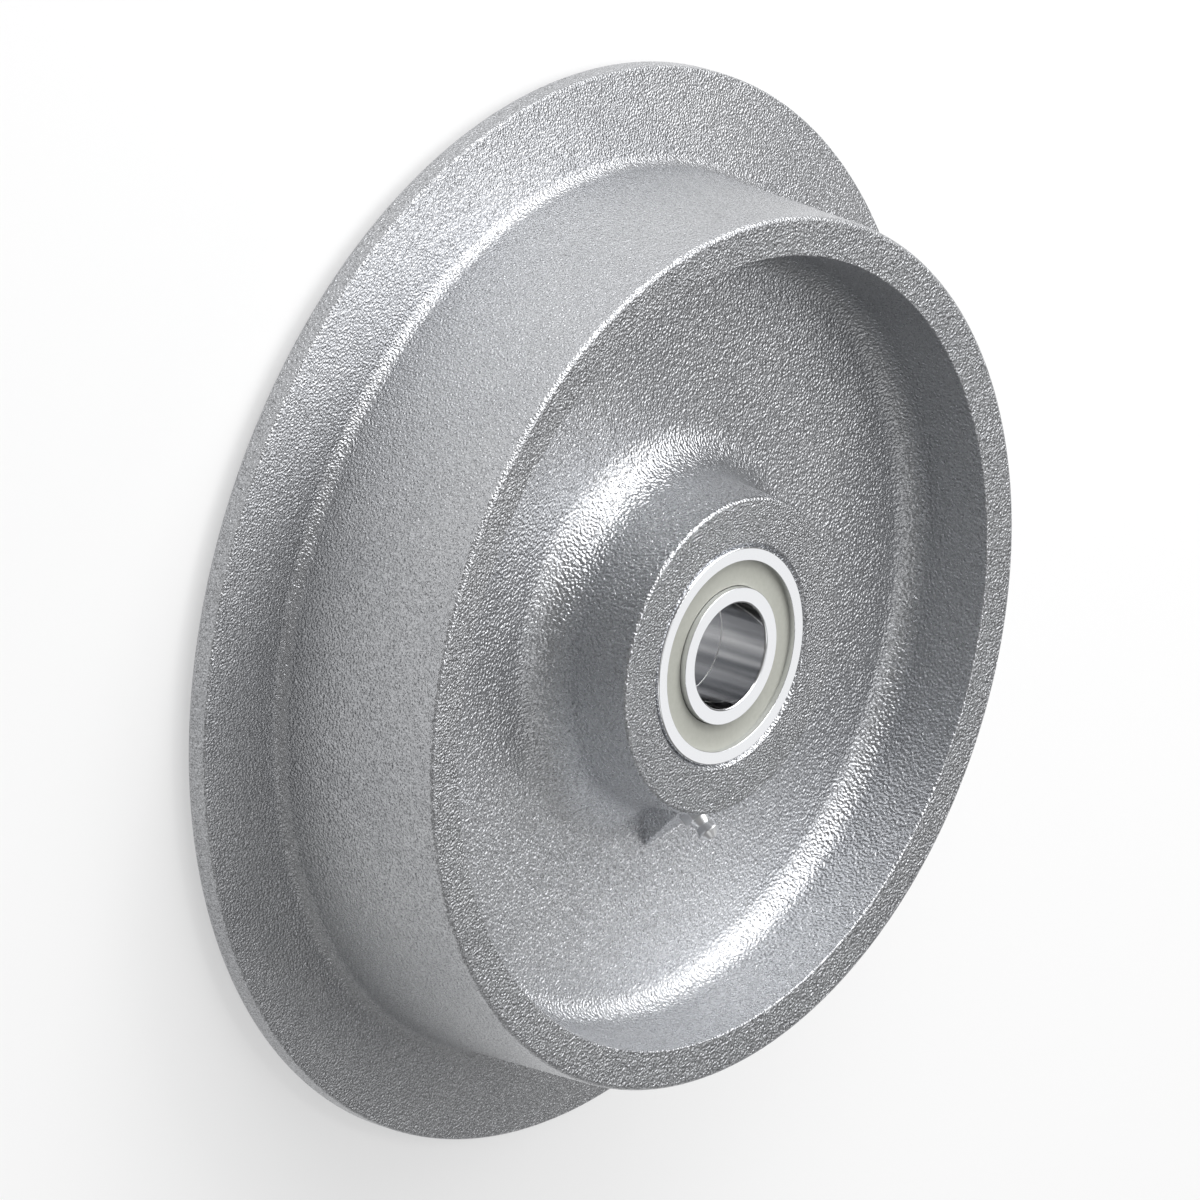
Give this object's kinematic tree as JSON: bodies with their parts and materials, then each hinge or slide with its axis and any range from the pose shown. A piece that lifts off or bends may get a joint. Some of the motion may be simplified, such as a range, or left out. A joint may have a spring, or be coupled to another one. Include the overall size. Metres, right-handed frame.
{
  "type": "flanged track wheel",
  "caption": "Cast iron track wheel with one flange, on two shielded ball bearings with a spacer sleeve and a grease nipple on the hub.",
  "frame": {"origin": "on the wheel's axis, at the level of the rear hub face that it stands on", "axes": "+Z along the axle, from the flange side to the open front; +X towards the grease nipple"},
  "size_m": [0.304, 0.304, 0.07],
  "materials": {
    "cast_iron": "rough silver-grey casting skin",
    "ring_steel": "ground and polished",
    "shield_sheet": "matt khaki grey",
    "cage_steel": "pressed sheet",
    "ball_steel": "polished",
    "sleeve_steel": "turned",
    "nipple_steel": "bright zinc plated",
    "spring_steel": "drawn wire"
  },
  "bodies": {
    "inner_rings": {"front_inner_ring": "ring_steel", "rear_inner_ring": "ring_steel", "spacer_sleeve": "sleeve_steel"},
    "wheel": {"wheel_casting": "cast_iron", "front_outer_ring": "ring_steel", "rear_outer_ring": "ring_steel", "front_shield": "shield_sheet", "rear_shield": "shield_sheet", "grease_nipple_body": "nipple_steel", "grease_nipple_spring": "spring_steel"},
    "front_ball_set": {"front_ball_1": "ball_steel", "front_ball_2": "ball_steel", "front_ball_3": "ball_steel", "front_ball_4": "ball_steel", "front_ball_5": "ball_steel", "front_ball_6": "ball_steel", "front_ball_7": "ball_steel", "front_ball_8": "ball_steel", "front_ball_9": "ball_steel", "front_cage_outer_half": "cage_steel", "front_cage_inner_half": "cage_steel", "front_cage_rivets": "cage_steel"},
    "rear_ball_set": {"rear_ball_1": "ball_steel", "rear_ball_2": "ball_steel", "rear_ball_3": "ball_steel", "rear_ball_4": "ball_steel", "rear_ball_5": "ball_steel", "rear_ball_6": "ball_steel", "rear_ball_7": "ball_steel", "rear_ball_8": "ball_steel", "rear_ball_9": "ball_steel", "rear_cage_outer_half": "cage_steel", "rear_cage_inner_half": "cage_steel", "rear_cage_rivets": "cage_steel"},
    "nipple_ball": {"grease_nipple_ball": "ball_steel"}
  },
  "joints": [
    {"name": "wheel_spin", "type": "hinge", "parent": "inner_rings", "child": "wheel", "pos_m": [0, 0, 0.035], "axis": [0, 0, 1], "continuous": true},
    {"name": "front_ball_set_spin", "type": "hinge", "parent": "inner_rings", "child": "front_ball_set", "pos_m": [0, 0, 0.062], "axis": [0, 0, 1], "continuous": true},
    {"name": "rear_ball_set_spin", "type": "hinge", "parent": "inner_rings", "child": "rear_ball_set", "pos_m": [0, 0, 0.008], "axis": [0, 0, 1], "continuous": true},
    {"name": "nipple_ball_slide", "type": "slide", "parent": "wheel", "child": "nipple_ball", "axis": [0.7071, 0, 0.7071], "range_m": [-0.0008, 0], "stiffness_N_per_m": 250, "springref_m": 0.002, "deforming": ["grease_nipple_spring"]}
  ],
  "couplings": [
    {"joint": "front_ball_set_spin", "follows": "wheel_spin", "ratio": 0.60353},
    {"joint": "rear_ball_set_spin", "follows": "wheel_spin", "ratio": 0.60353}
  ]
}
